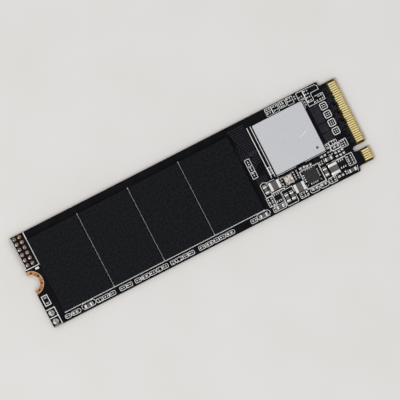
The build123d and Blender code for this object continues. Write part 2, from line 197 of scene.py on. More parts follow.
def ring_copper(finish):
    """Etched copper under a thin clear finish: warm, with its inner and outer rims painted pale as
    highlights on their edges.
    """
    made, tree, shader, place = start_material("etched_copper_with_painted_rim_highlights", Metallic=1.0)
    radius = from_notch(tree, place)
    # Painted highlight: the ring's inner and outer rims are painted pale cream, and are also made glossier
    # and a little raised.
    off_middle = add_node(tree, "Math", {0: radius, 1: RING_MIDDLE}, operation="SUBTRACT")
    off_middle = add_node(tree, "Math", {0: off_middle}, operation="ABSOLUTE")
    painted_rim_highlights = add_node(tree, "MapRange", {"Value": off_middle, "From Min": 0.36, "From Max": 0.48})
    stains = grain(tree, place, 0.6, detail=3.0)
    copper = {0: stains, 6: finish.copper_color, 7: linear("#8a5c42")}
    copper = add_node(tree, "Mix", copper, give=2, data_type="RGBA")
    colors = (copper, linear("#ecd0ae"))
    finish_surface(tree, shader, colors, painted_rim_highlights, (0.42, 0.3), 0.002)
    return made


def crowned_solder(finish):
    """Solder crowns dulled by the probes that press on them, the farthest pair still gilded."""
    made, tree, shader, place = start_material("probed_tin_solder", Metallic=1.0)
    y = add_node(tree, "SeparateXYZ", {0: place}, give="Y")
    gilded = add_node(tree, "Math", {0: y, 1: GILDED_PADS_Y}, operation="GREATER_THAN")
    top = {0: gilded, 6: finish.crown_color, 7: linear("#978565")}
    top = add_node(tree, "Mix", top, give=2, data_type="RGBA")
    # Flux stays dark in the pits, which are drawn 0.3 mm across so that they show.
    pits = grain(tree, place, 0.3, detail=3.0, low=0.42, high=0.62)
    finish_surface(tree, shader, (top, linear("#5c4c48")), pits, (0.22, 0.42), 0.004)
    return made


def stamped_lid(finish):
    """Nickel plated over stamped copper: pale satin grey, with a corner mark and a hairline scratch."""
    made, tree, shader, place = start_material("satin_nickel_plating", Metallic=0.85)
    satin = {0: grain(tree, place, 0.35, detail=4.0), 6: finish.lid_color, 7: linear("#cacbce")}
    satin = add_node(tree, "Mix", satin, give=2, data_type="RGBA")
    # The corner mark was struck through the plating and is darker.
    from_mark = {0: place, 1: (*PIN_MARK, LID_HIGH.z / MM)}
    from_mark = add_node(tree, "VectorMath", from_mark, give="Value", operation="DISTANCE")
    mark = add_node(tree, "Math", {0: from_mark, 1: PIN_MARK_RADIUS}, operation="LESS_THAN")
    color = add_node(tree, "Mix", {0: mark, 6: satin, 7: linear("#5c5e63")}, give=2, data_type="RGBA")
    # The scratch is drawn about as fine as the render can show.
    turn = math.atan2(SCRATCH_END[1] - SCRATCH_START[1], SCRATCH_END[0] - SCRATCH_START[0])
    along = {"Vector": place, "Location": (*SCRATCH_START, 0), "Rotation": (0, 0, turn)}
    along = add_node(tree, "Mapping", along, vector_type="TEXTURE")
    u, v = add_node(tree, "SeparateXYZ", {0: along}, give=None).outputs[:2]
    v = add_node(tree, "Math", {0: v}, operation="ABSOLUTE")
    thin = add_node(tree, "Math", {0: v, 1: SCRATCH_WIDTH / 2}, operation="LESS_THAN")
    length = math.dist(SCRATCH_START, SCRATCH_END)
    long = add_node(tree, "Math", {0: length, 1: u}, operation="GREATER_THAN")
    ahead = add_node(tree, "Math", {0: u, 1: 0.0}, operation="GREATER_THAN")
    scratch = add_node(tree, "Math", {0: thin, 1: long}, operation="MULTIPLY")
    scratch = add_node(tree, "Math", {0: scratch, 1: ahead}, operation="MULTIPLY")
    color = add_node(tree, "Mix", {0: scratch, 6: color, 7: linear("#ffffff")}, give=2, data_type="RGBA")
    tree.links.new(color, shader.inputs["Base Color"])
    rough = grain(tree, place, 0.3, detail=3.0)
    rough = add_node(tree, "MapRange", {"Value": rough, "To Min": 0.38, "To Max": 0.5})
    tree.links.new(rough, shader.inputs["Roughness"])
    bump = add_node(tree, "Bump", {"Height": grain(tree, place, 0.3), "Distance": 0.002 * MM})
    tree.links.new(bump, shader.inputs["Normal"])
    return made


def plain_surface(name, colors, roughness, size, depth, stretch=(1, 1, 1), detail=2.0, **surface):
    """A surface whose colour, gloss and relief all follow one grain, size millimetres across."""
    made, tree, shader, place = start_material(name, **surface)
    place = add_node(tree, "VectorMath", {0: place, 1: stretch}, operation="MULTIPLY")
    finish_surface(tree, shader, colors, grain(tree, place, size, detail), roughness, depth)
    return made


# Shapes, built in millimetres


# Half the section of a solder crown: share of its radius and of its height
CROWN = ((1.0, 0.0), (0.97, 0.3), (0.85, 0.62), (0.6, 0.86), (0.3, 0.97), (0.05, 1.0))
# The slope of a solder toe: share of its reach and of its height
TOE_SLOPE = ((-0.1, 1.0), (0.1, 0.66), (0.35, 0.32), (0.65, 0.12), (1.0, 0.03))
# Width of a toe at its foot and at its top, and its height, as shares of the terminal's own
TOE_FOOT = 1.12
TOE_TOP = 0.86
TOE_CLIMB = 0.75
# A terminal this near its chip's middle is the thermal pad, which has no toe.
THERMAL_PAD_SPAN = 0.1
# Angle from a solder ball's middle to the pads that squash it, in degrees
BALL_CUT = 50
# Degrees below which solder is shaded smooth, and above which a CAD node's edges are softened
SMOOTH_ANGLE = 50
SOFTENED_ANGLE = 40
SOFTENED_STEPS = 2
# Points of a CAD node nearer than this are joined first, in millimetres.
WELD_REACH = 0.0005


def rounded(low, high, corner, steps=4):
    """The outline of a rectangle with round corners, as a list of points."""
    (x0, y0), (x1, y1) = low, high
    centers = (
        (x1 - corner, y1 - corner),
        (x0 + corner, y1 - corner),
        (x0 + corner, y0 + corner),
        (x1 - corner, y0 + corner),
    )
    points = []
    for quarter, (cx, cy) in enumerate(centers):
        for step in range(steps + 1):
            angle = math.pi / 2 * (quarter + step / steps)
            points.append((cx + corner * math.cos(angle), cy + corner * math.sin(angle)))
    return points


def skin(mesh, rings, closed=False):
    """Joins rings of points, each a list of (x, y, z) in millimetres, into one solid."""
    rings = [[mesh.verts.new(Vector(point) * MM) for point in ring] for ring in rings]
    for ring, after in zip(rings, rings[1:] + (rings[:1] if closed else [])):
        for i in range(len(ring)):
            j = (i + 1) % len(ring)
            mesh.faces.new((ring[i], ring[j], after[j], after[i]))
    if not closed:
        mesh.faces.new(rings[0][::-1])
        mesh.faces.new(rings[-1])


def ribbon(mesh, path, width, low, high, closed=False):
    """A flat raised line along a path of (x, y) points, mitred at its corners."""
    rings = []
    for i, here in enumerate(path):
        before = path[i - 1] if closed or i > 0 else None
        after = path[(i + 1) % len(path)] if closed or i < len(path) - 1 else None
        sides = []
        for start, end in ((before, here), (here, after)):
            if start is not None and end is not None:
                along = (Vector(end) - Vector(start)).normalized()
                sides.append(Vector((-along.y, along.x)))
        side = sides[0] + sides[-1]
        side *= width / side.length_squared
        x, y = here
        rings.append(
            [
                (x + side.x, y + side.y, low),
                (x + side.x, y + side.y, high),
                (x - side.x, y - side.y, high),
                (x - side.x, y - side.y, low),
            ]
        )
    skin(mesh, rings, closed)


def slab(mesh, outline, low, high):
    """A flat piece with an outline of (x, y) points."""
    skin(mesh, [[(x, y, z) for x, y in outline] for z in (low, high)])


def turned(mesh, center, profile, segments=16):
    """A round piece from a profile of (radius, height) points."""
    angles = [2 * math.pi * i / segments for i in range(segments)]
    skin(
        mesh,
        [
            [(center[0] + radius * math.cos(a), center[1] + radius * math.sin(a), height) for a in angles]
            for radius, height in profile
        ],
    )


def make_piece(name, mesh, material, smooth=False):
    """Turns a mesh into a piece of the part that takes one of the record's finishes."""
    bmesh.ops.recalc_face_normals(mesh, faces=mesh.faces)
    data = bpy.data.meshes.new(name)
    mesh.to_mesh(data)
    mesh.free()
    data.materials.append(material)
    if smooth:
        data.shade_smooth()
        data.set_sharp_from_angle(angle=math.radians(SMOOTH_ANGLE))
    piece = bpy.data.objects.new(name, data)
    bpy.context.scene.collection.objects.link(piece)
    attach(piece, BODY)
    return piece


def dress(name, material, edge=0.0):
    """Gives a CAD node its material and softens its edges by edge millimetres."""
    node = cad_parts[name]
    data = node.data
    data.materials.clear()
    data.materials.append(material)
    data.normals_split_custom_set([(0, 0, 0)] * len(data.loops))
    data.shade_flat()
    weld = node.modifiers.new("joined corners", "WELD")
    weld.merge_threshold = WELD_REACH * MM
    if edge:
        bevel = node.modifiers.new("soft edges", "BEVEL")
        bevel.width = edge * MM
        bevel.segments = SOFTENED_STEPS
        bevel.limit_method = "ANGLE"
        bevel.angle_limit = math.radians(SOFTENED_ANGLE)
    return node


def blocks(name):
    """The lowest and highest corner, in millimetres, of each separate solid of a CAD node."""
    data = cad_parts[name].data
    spots = [tuple(round(c / MM, 3) for c in vertex.co) for vertex in data.vertices]
    joined = {spot: spot for spot in spots}

    def first_of(spot):
        while joined[spot] != spot:
            spot = joined[spot]
        return spot

    for face in data.polygons:
        first = first_of(spots[face.vertices[0]])
        for i in face.vertices[1:]:
            joined[first_of(spots[i])] = first
    solids = {}
    for spot in joined:
        solids.setdefault(first_of(spot), []).append(spot)
    return sorted(
        (tuple(map(min, zip(*solid))), tuple(map(max, zip(*solid)))) for solid in solids.values()
    )


def middle(block):
    """The middle of a block, in millimetres."""
    return tuple((low + high) / 2 for low, high in zip(*block))


def pointed(low, high, cut):
    """The outline of a rectangle whose four corners are cut off."""
    (x0, y0), (x1, y1) = low, high
    return [
        (x0, y0 + cut),
        (x0 + cut, y0),
        (x1 - cut, y0),
        (x1, y0 + cut),
        (x1, y1 - cut),
        (x1 - cut, y1),
        (x0 + cut, y1),
        (x0, y1 - cut),
    ]


def ball_profile(radius, low, high):
    """The side of a solder ball squashed between two pads, as (radius, height) points."""
    half = (high - low) / 2
    cut = math.radians(BALL_CUT)
    return [
        (radius * math.cos(a * cut), low + half + half * math.sin(a * cut) / math.sin(cut))
        for a in (-1, -0.5, 0, 0.5, 1)
    ]


def solder_toe(mesh, block, outward, reach):
    """A hollow slope of solder from a terminal's outer face down to its pad."""
    (x0, y0, z0), (x1, y1, z1) = block
    along, across = (x1 - x0) / 2, (y1 - y0) / 2
    if not outward[0]:
        along, across = across, along
    cx, cy = middle(block)[:2]
    rings = []
    for step, height in TOE_SLOPE:
        out = along + step * reach
        top = z0 + (z1 - z0) * TOE_CLIMB * height
        ring = []
        for side, z in ((-TOE_FOOT, z0), (-TOE_TOP, top), (TOE_TOP, top), (TOE_FOOT, z0)):
            x = outward[0] * out - outward[1] * side * across
            y = outward[1] * out + outward[0] * side * across
            ring.append((cx + x, cy + y, z))
        rings.append(ring)
    skin(mesh, rings)


def outward_from(block, bodies):
    """The side, along X or Y, on which a terminal stands off its nearest body, and how far off."""
    here = middle(block)
    body = min((middle(b) for b in bodies), key=lambda m: (m[0] - here[0]) ** 2 + (m[1] - here[1]) ** 2)
    dx, dy = here[0] - body[0], here[1] - body[1]
    if abs(dx) > abs(dy):
        return (math.copysign(1, dx), 0), abs(dx)
    return (0, math.copysign(1, dy)), abs(dy)


# Print, tracks and marks, each place measured on the card


# Where the hairline scratch on the lid begins and ends
SCRATCH_START = (27.1, 1.7)
SCRATCH_END = (29.2, 2.6)
SCRATCH_WIDTH = 0.08

# Copper areas under the mask: from x, from y, to x and to y
COPPER_CORNER = 0.2
COPPER_AREAS = (
    # The three beside the lid start about a millimetre off its edge, so the black mask left between stands
    # as painted shade beside the lid.
    (31.95, -1.85, 33.95, 0.0),
    (31.95, 0.2, 33.95, 2.1),
    (31.95, 2.35, 33.95, 6.6),
    (15.35, 2.9, 17.35, 3.9),
)

# Outlines printed round the near row: from x, to x and the shape of the ends
NEAR_ROW = (
    (-36.75, -35.35, "round"),
    (-35.25, -33.0, "round"),
    (-32.5, -29.2, "point"),
    (-29.0, -27.5, "cell"),
    (-27.4, -25.95, "cell"),
    (-25.85, -24.4, "cell"),
    (-23.25, -21.75, "cell"),
    (-21.65, -20.25, "cell"),
    (-19.5, -18.1, "cell"),
    (-18.0, -15.9, "round"),
    (-15.8, -14.4, "cell"),
    (-14.2, -12.9, "cell"),
    (-12.8, -11.4, "cell"),
    (-10.7, -9.75, "cell"),
    (-9.55, -7.8, "cell"),
    (-7.65, -6.4, "cell"),
    (-6.3, -4.9, "cell"),
    (-3.7, -2.3, "cell"),
    (-2.2, -0.05, "round"),
    (0.05, 1.2, "cell"),
    (1.3, 2.8, "cell"),
    (2.85, 5.1, "round"),
    (9.2, 10.7, "cell"),
    (10.85, 13.95, "point"),
)
ROW_NEAR = NEAR_Y + 0.52
ROW_FAR = NEAR_Y + 1.4
ROW_POINTED_FAR = NEAR_Y + 1.85
ROW_POINT_CUT = 0.4
ROW_CORNERS = {"cell": 0.2, "round": (ROW_FAR - ROW_NEAR) / 2 - 0.02}

# A comb of short ticks printed at the corner by the large pads
COMB_TICKS = 6
COMB_PITCH = 0.28
COMB_REAR = REAR_X + 0.35
COMB_NEAR = NEAR_Y + 0.06
COMB_FAR = NEAR_Y + 0.3

# Printed frames: from x, from y, to x, to y and corner radius
FRAMES = (
    (13.95, -1.85, 15.1, 2.7, 0.1),
    (22.95, 9.0, 24.45, 10.75, 0.15),
    (24.55, 9.0, 26.0, 10.75, 0.15),
    (26.3, 9.3, 27.9, 10.75, 0.15),
    (28.15, 9.1, 29.65, 10.75, 0.15),
    (30.7, 9.05, 32.2, 10.75, 0.15),
    (32.3, 7.65, 33.7, 10.75, 0.15),
    (31.35, 6.8, 32.15, 8.8, 0.12),
    (32.3, -3.0, 34.1, -2.1, 0.1),
    (31.4, -3.3, 32.2, -2.2, 0.1),
    (34.5, -4.6, 36.1, -2.9, 0.1),
    (14.45, -9.1, 15.95, -6.95, 0.1),
    (14.8, -10.55, 17.8, -9.6, 0.2),
    (18.1, -10.6, 20.8, -7.0, 0.2),
    (24.0, -10.55, 26.15, -9.55, 0.45),
    (26.35, -10.55, 28.5, -9.55, 0.45),
    (21.5, -10.5, 23.4, -9.3, 0.1),
    (34.2, -8.9, 35.9, -6.3, 0.15),
    (28.7, -10.55, 30.45, -9.3, 0.12),
    (17.85, -2.65, 18.3, -1.0, 0.05),
)

# Printed lines, each a path of points
LINES = (
    ((22.85, 9.95), (24.35, 9.95)),
    ((26.65, 9.3), (26.65, 10.75)),
    ((27.15, 9.3), (27.15, 10.75)),
    ((28.0, 9.85), (29.5, 9.85)),
    ((33.7, 10.65), (33.7, 9.4), (35.7, 9.4), (35.7, 10.2), (35.25, 10.65), (33.7, 10.65)),
    ((34.2, 8.35), (36.1, 8.35), (36.1, 6.8), (31.4, 6.8)),
    ((14.6, -6.85), (14.6, -3.75), (15.3, -3.45), (16.1, -3.75), (16.1, -6.85), (14.6, -6.85)),
    ((13.95, 1.05), (15.1, 1.05)),
    ((13.95, -0.35), (15.1, -0.35)),
    ((16.1, -3.85), (18.0, -3.85)),
    ((15.2, -9.3), (17.8, -9.3)),
    ((17.9, -6.7), (17.9, -10.4)),
    ((18.8, -3.6), (23.6, -3.6)),
    ((25.9, -3.6), (31.0, -3.6)),
    ((35.8, -9.5), (35.5, -10.6)),
    ((-39.58, 3.3), (-39.58, 10.8)),
    ((17.85, -1.85), (18.3, -1.85)),
)
BOLD_LINES = (
    ((16.0, -6.55), (18.7, -6.55), (19.3, -6.8)),
    ((16.05, -7.0), (16.05, -9.2)),
    ((23.9, -5.0), (25.5, -5.0)),
    ((32.0, -6.4), (34.1, -6.4)),
    ((33.3, -3.1), (34.2, -3.1), (34.5, -3.4), (34.5, -3.95), (34.2, -4.25), (33.3, -4.25)),
    ((33.3, -3.1), (32.5, -3.1), (32.2, -3.4), (32.2, -3.95), (32.5, -4.25), (33.3, -4.25)),
)

# Bare tinned pads in the small printed box at the screw end, and solder at the crystal's corners
SPARE_PADS = ((-38.8, -4.13), (-38.8, -5.4))
SPARE_PAD_SIZE = (0.6, 0.42)
SPARE_PAD_CORNER = 0.12
SPARE_PAD_HEIGHT = 0.03
CRYSTAL_SOLDER = ((19.75, -6.5), (20.4, -6.45), (21.65, -6.45), (19.8, -4.35), (21.95, -4.3))
CRYSTAL_SOLDER_RADIUS = 0.2
CRYSTAL_SOLDER_HEIGHT = 0.16

# Diagonal leads at the corners of the power manager: from and to, off the corner along X and along Y
CORNER_LEAD_SPAN = (-0.02, 0.26)
CORNER_LEAD_WIDTH = 0.2
CORNER_LEAD_HEIGHT = 0.1

# Tracks: where those behind the controller start, and the stubs behind the contacts
TRACKS_START_X = 17.3
STUB_LENGTHS = (0.5, 1.0, 0.7, 1.35)
# A stub shorter than this has no via at its end, and every other track has one.
STUB_WITH_VIA = 0.6
# Where a coupling capacitor's track starts, how far off its middle, and how far across its contact lies
COUPLING_TRACK_X = 36.1
COUPLING_TRACK_SIDE = 0.3
COUPLING_TRACK_SHIFT = 1.2


def track_paths():
    """Centre lines of the copper tracks whose ridges show through the mask."""
    paths = []
    # Five tracks turn a corner between the last memory package and the controller.
    for k in range(5):
        x, y = 13.4 + 0.4 * k, 6.35 - 0.5 * k
        paths.append(((TRACKS_START_X, y), (x + 0.8, y), (x, y - 0.8), (x, 3.0)))
    # Seven more run straight beside them, each a little longer than the last.
    for k in range(7):
        y = 6.85 + 0.5 * k
        paths.append(((TRACKS_START_X, y), (14.4 - 0.15 * k, y)))
    # Six short ones lie across the card at the near end of the printed strip.
    for k in range(6):
        x = 14.5 + 0.42 * k
        paths.append(((x, -2.05), (x, -3.2)))
    # Four slant down to the strip.
    for k in range(4):
        y = 0.1 + 0.55 * k
        paths.append(((TRACKS_START_X, y + 0.9), (16.3, y + 0.9), (15.45, y)))
    # Every contact has a short stub, and the capacitor pairs run on to contacts farther across.
    lines = sorted(middle(block)[1] for block in blocks("main_contacts_top"))
    for k, line in enumerate(lines):
        stub = STUB_LENGTHS[k % len(STUB_LENGTHS)]
        paths.append(((CONTACT_REAR_X, line), (CONTACT_REAR_X - stub, line)))
    # Two capacitors stand side by side, so half of them give each pair its place across the card.
    capacitors = blocks("coupling_capacitor_bodies")
    for block in capacitors[: len(capacitors) // 2]:
        for side in (-1, 1):
            start = middle(block)[1] + side * COUPLING_TRACK_SIDE
            end = min(lines, key=lambda line: abs(line - start - COUPLING_TRACK_SHIFT))
            bend = COUPLING_TRACK_X + end - start
            paths.append(((COUPLING_TRACK_X, start), (bend, end), (CONTACT_REAR_X, end)))
    return paths


# The stage: the table's half width and the lamp in metres, the rest in millimetres and degrees
TABLE_REACH = 3.0
TABLE_GAP = 0.01
WINDOW_SIZE = 0.3
WINDOW_PLACE = (-0.55, -0.18, 0.82)
SENSOR_WIDTH = 36
NEAREST_SEEN = 0.001
# The photographed card lies round from the picture's edges by its turn, and is seen almost from above:
# the camera leans off upright by a little along X and along Y, and looks at a place on the card.
CARD_TURN = 27.08
CAMERA_LEAN = (-0.379, 2.794)
CAMERA_AIM = (1.4, -0.51)


# Settings


def color_setting(name, description, code):
    """A colour that a user can change, given as sRGB hex."""
    return bpy.props.FloatVectorProperty(
        name=name, description=description, subtype="COLOR", size=4, min=0, max=1, default=linear(code)
    )


def length_setting(name, description, size):
    """A length that a user can change, given in millimetres."""
    return bpy.props.FloatProperty(
        name=name, description=description, unit="LENGTH", min=0, precision=5, default=size * MM
    )


class BoardSettings(bpy.types.PropertyGroup):
    """Colours of the circuit board and its plating"""

    mask_color: color_setting("Solder mask", "Colour of the cured solder mask", "#08080c")
    covered_color: color_setting("Covered copper", "Solder mask over copper", "#1f1f24")
    laminate_color: color_setting("Laminate", "Bare laminate between the contacts", "#4c4018")
    gold_color: color_setting("Gold", "Plating of the edge contacts", "#fff0b4")
    copper_color: color_setting("Copper", "Ground ring round the screw notch", "#c08c66")
    track_width: length_setting("Track", "Width of a copper track", 0.2)
    via_radius: length_setting("Via", "Radius of a covered via", 0.17)


class SolderSettings(bpy.types.PropertyGroup):
    """Solder joints, balls and crowned pads"""

    solder_color: color_setting("Solder", "Bright reflowed solder", "#f3f2ee")
    crown_color: color_setting("Crowned pads", "Older solder on the round pads", "#ab9a95")
    power_crown_color: color_setting("Power pads", "Solder on the two large pads", "#c9c5c1")
    toe_reach: length_setting("Toe reach", "How far solder runs out from a chip part's terminal", 0.16)


class PackageSettings(bpy.types.PropertyGroup):
    """Moulded packages and the controller's lid"""

    mould_color: color_setting("Moulding", "Black epoxy of the memory packages", "#050608")
    manager_color: color_setting("Power manager", "Greyer epoxy of the power manager", "#333436")
    lid_color: color_setting("Lid", "Satin nickel of the controller's lid", "#d0d1d3")
    edge_radius: length_setting("Edge radius", "Rounding of a package's sawn edges", 0.05)


class ChipSettings(bpy.types.PropertyGroup):
    """Small chip parts"""

    capacitor_color: color_setting("Capacitors", "Fired ceramic of the larger capacitors", "#68625d")
    small_color: color_setting("Small capacitors", "Fired ceramic of the smallest capacitors", "#211d1a")
    inductor_color: color_setting("Inductors", "Pressed ferrite of the inductors", "#625d5a")
    terminal_color: color_setting("Terminals", "Tin plating of the terminals", "#ffffff")


class PrintSettings(bpy.types.PropertyGroup):
    """White print on the board"""

    ink_color: color_setting("Ink", "Colour of the printed lines", "#fbfbf9")
    line_width: length_setting("Line", "Width of the fine printed lines", 0.105)
    bold_width: length_setting("Bold line", "Width of the heavy printed lines", 0.2)
    ink_height: length_setting("Ink height", "Thickness of the print", 0.02)


class StudioSettings(bpy.types.PropertyGroup):
    """Table, lamps and camera"""

    table_color: color_setting("Table", "Colour of the table top", "#e2dfdc")
    lens: bpy.props.FloatProperty(
        name="Lens", description="Focal length in millimetres", default=122.65, min=1
    )
    distance: length_setting("Distance", "From the card to the camera", 300)
    key_power: bpy.props.FloatProperty(
        name="Window lamp", description="Power of the large soft lamp", unit="POWER", default=2.2, min=0
    )
    sky_level: bpy.props.FloatProperty(
        name="Room light",
        description="Level of the even light all round",
        subtype="FACTOR",
        default=0.88,
        min=0,
        max=1,
    )


# Operators


class DRIVE_OT_board(bpy.types.Operator):
    """Finish the circuit board, its covered tracks, its edge contacts and its ground ring"""

    bl_idname = "drive.board"
    bl_label = "Board and plating"

    def execute(self, context):
        finish = context.scene.drive_board
        dress("circuit_board", masked_laminate(finish))
        # Solder mask over copper stands a little proud and looks greyer than over bare laminate.
        covered = plain_surface(
            "cured_solder_mask_over_copper",
            (finish.covered_color, linear("#2d2b33")),
            (0.4, 0.55),
            0.7,
            0.004,
            detail=3.0,
            Specular_IOR_Level=0.08,
        )
        mesh = bmesh.new()
        low, high = BOARD_TOP, BOARD_TOP + MASK_RELIEF
        via = finish.via_radius / MM
        for x0, y0, x1, y1 in COPPER_AREAS:
            slab(mesh, rounded((x0, y0), (x1, y1), COPPER_CORNER), low, high)
        for path in track_paths():
            ribbon(mesh, path, finish.track_width / MM, low, high)
            if path[0][0] < CONTACT_REAR_X or path[-1][0] < CONTACT_REAR_X - STUB_WITH_VIA:
                turned(mesh, path[-1], [(via, low), (via, high + VIA_RELIEF)])
        make_piece("covered_copper", mesh, covered)
        # Hard gold over nickel, brushed lengthwise by the socket: bright streaks along each contact.
        gold = plain_surface(
            "hard_gold_plating",
            (finish.gold_color, linear("#edd28a")),
            (0.2, 0.4),
            0.3,
            0.002,
            stretch=(0.2, 1, 1),
            Metallic=1.0,
        )
        for node in sorted(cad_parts):
            if node.endswith(("contacts_top", "contacts_bottom")):
                dress(node, gold, 0.012)
        dress("screw_ground_ring", ring_copper(finish), 0.015)
        return {"FINISHED"}


class DRIVE_OT_solder(bpy.types.Operator):
    """Build the solder balls, the crowned pads and the solder toes at the terminals"""

    bl_idname = "drive.solder"
    bl_label = "Solder"

    def execute(self, context):
        finish = context.scene.drive_solder
        # Tin solder left to freeze in the oven: bright, with a soft frosting of crystals.
        solder = plain_surface(
            "reflowed_tin_solder",
            (finish.solder_color, linear("#c4c1bc")),
            (0.18, 0.4),
            0.2,
            0.003,
            Metallic=1.0,
        )
        # The two large pads are probed less and stay silver, with pale scuffs.
        power_crown = plain_surface(
            "scuffed_tin_solder",
            (finish.power_crown_color, linear("#716e6c")),
            (0.25, 0.45),
            0.45,
            0.005,
            detail=4.0,
            Metallic=1.0,
        )
        for node in sorted(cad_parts):
            if not node.endswith("_solder_balls"):
                continue
            mesh = bmesh.new()
            for low, high in blocks(node):
                profile = ball_profile((high[0] - low[0]) / 2, low[2], high[2])
                turned(mesh, middle((low, high)), profile, segments=12)
            name = node.replace("solder_balls", "round_balls")
            balls = make_piece(name, mesh, solder, smooth=True)
            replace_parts(balls, node)
        header_crown = crowned_solder(finish)
        for node, crown in (("test_header_pads", header_crown), ("power_test_pads", power_crown)):
            mesh = bmesh.new()
            for low, high in blocks(node):
                radius, height = (high[0] - low[0]) / 2, high[2] - low[2]
                profile = [(radius * out, low[2] + height * up) for out, up in CROWN]
                turned(mesh, middle((low, high)), profile, segments=24)
            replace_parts(make_piece(node + "_crowns", mesh, crown, smooth=True), node)
        mesh = bmesh.new()
        reach = finish.toe_reach / MM
        for terminals, bodies, longer in (
            ("small_capacitor_terminals", "small_capacitor_bodies", 1.0),
            ("coupling_capacitor_terminals", "coupling_capacitor_bodies", 0.4),
            ("medium_capacitor_terminals", "medium_capacitor_bodies", 1.3),
            ("resistor_terminals", "resistor_bodies", 1.3),
            ("large_capacitor_terminals", "large_capacitor_bodies", 1.6),
            ("inductor_terminals", "inductor_bodies", 1.8),
            ("power_manager_terminals", "power_manager", 1.3),
            ("load_switch_leads", "load_switches", 1.2),
        ):
            standing = blocks(bodies)
            for block in blocks(terminals):
                outward, away = outward_from(block, standing)
                if away > THERMAL_PAD_SPAN:
                    solder_toe(mesh, block, outward, reach * longer)
        make_piece("solder_toes", mesh, solder, smooth=True)
        mesh = bmesh.new()
        radius, height = CRYSTAL_SOLDER_RADIUS, CRYSTAL_SOLDER_HEIGHT
        profile = [(radius * out, BOARD_TOP + height * up) for out, up in CROWN]
        for place in CRYSTAL_SOLDER:
            turned(mesh, place, profile)
        low, high = (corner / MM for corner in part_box("power_manager"))
        for x, side_x in ((low.x, -1), (high.x, 1)):
            for y, side_y in ((low.y, -1), (high.y, 1)):
                path = [(x + side_x * out, y + side_y * out) for out in CORNER_LEAD_SPAN]
                ribbon(mesh, path, CORNER_LEAD_WIDTH, BOARD_TOP, BOARD_TOP + CORNER_LEAD_HEIGHT)
        width, depth = SPARE_PAD_SIZE
        for x, y in SPARE_PADS:
            corners = (x - width / 2, y - depth / 2), (x + width / 2, y + depth / 2)
            slab(mesh, rounded(*corners, SPARE_PAD_CORNER), BOARD_TOP, BOARD_TOP + SPARE_PAD_HEIGHT)
        make_piece("loose_solder", mesh, power_crown, smooth=True)
        return {"FINISHED"}


class DRIVE_OT_packages(bpy.types.Operator):
    """Finish the memory packages, the controller and the small moulded chips"""

    bl_idname = "drive.packages"
    bl_label = "Packages"

    def execute(self, context):
        finish = context.scene.drive_packages
        edge = finish.edge_radius / MM
        # Transfer-moulded epoxy full of silica grains: near black with a fine dry mottle. The grains are
        # 0.05 mm and gather in patches, drawn 0.45 mm across so that they show.
        mould = plain_surface(
            "moulded_epoxy_with_silica",
            (finish.mould_color, linear("#1a1c20")),
            (0.5, 0.68),
            0.45,
            0.006,
            detail=6.0,
            Specular_IOR_Level=0.08,
        )
        # Sawn package laminate: dark with a hint of its copper planes.
        laminate = plain_surface(
            "sawn_package_laminate", (linear("#20221f"), linear("#35302a")), (0.5, 0.7), 0.3, 0.003
        )
        for node in sorted(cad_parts):
            if node.endswith("_mould"):
                dress(node, mould, edge)
            elif node.endswith("_substrate"):
                dress(node, laminate, 0.02)
        dress("controller_lid", stamped_lid(finish), 0.03)
        # The power manager's epoxy is greyer, polished by handling and flecked with filler.
        grey = plain_surface(
            "grey_moulded_epoxy",
            (finish.manager_color, linear("#28292b")),
            (0.4, 0.6),
            0.5,
            0.004,
            detail=5.0,
            Specular_IOR_Level=0.12,
        )
        dress("power_manager", grey, 0.04)
        # The smallest chips are sawn from a block of the blackest epoxy.
        black = plain_surface(
            "sawn_black_epoxy",
            (linear("#0d0d10"), linear("#17171a")),
            (0.4, 0.6),
            0.25,
            0.004,
            detail=4.0,
            Specular_IOR_Level=0.08,
        )
        for node in ("load_switches", "small_converter", "settings_memory"):
            dress(node, black, 0.04)
        return {"FINISHED"}


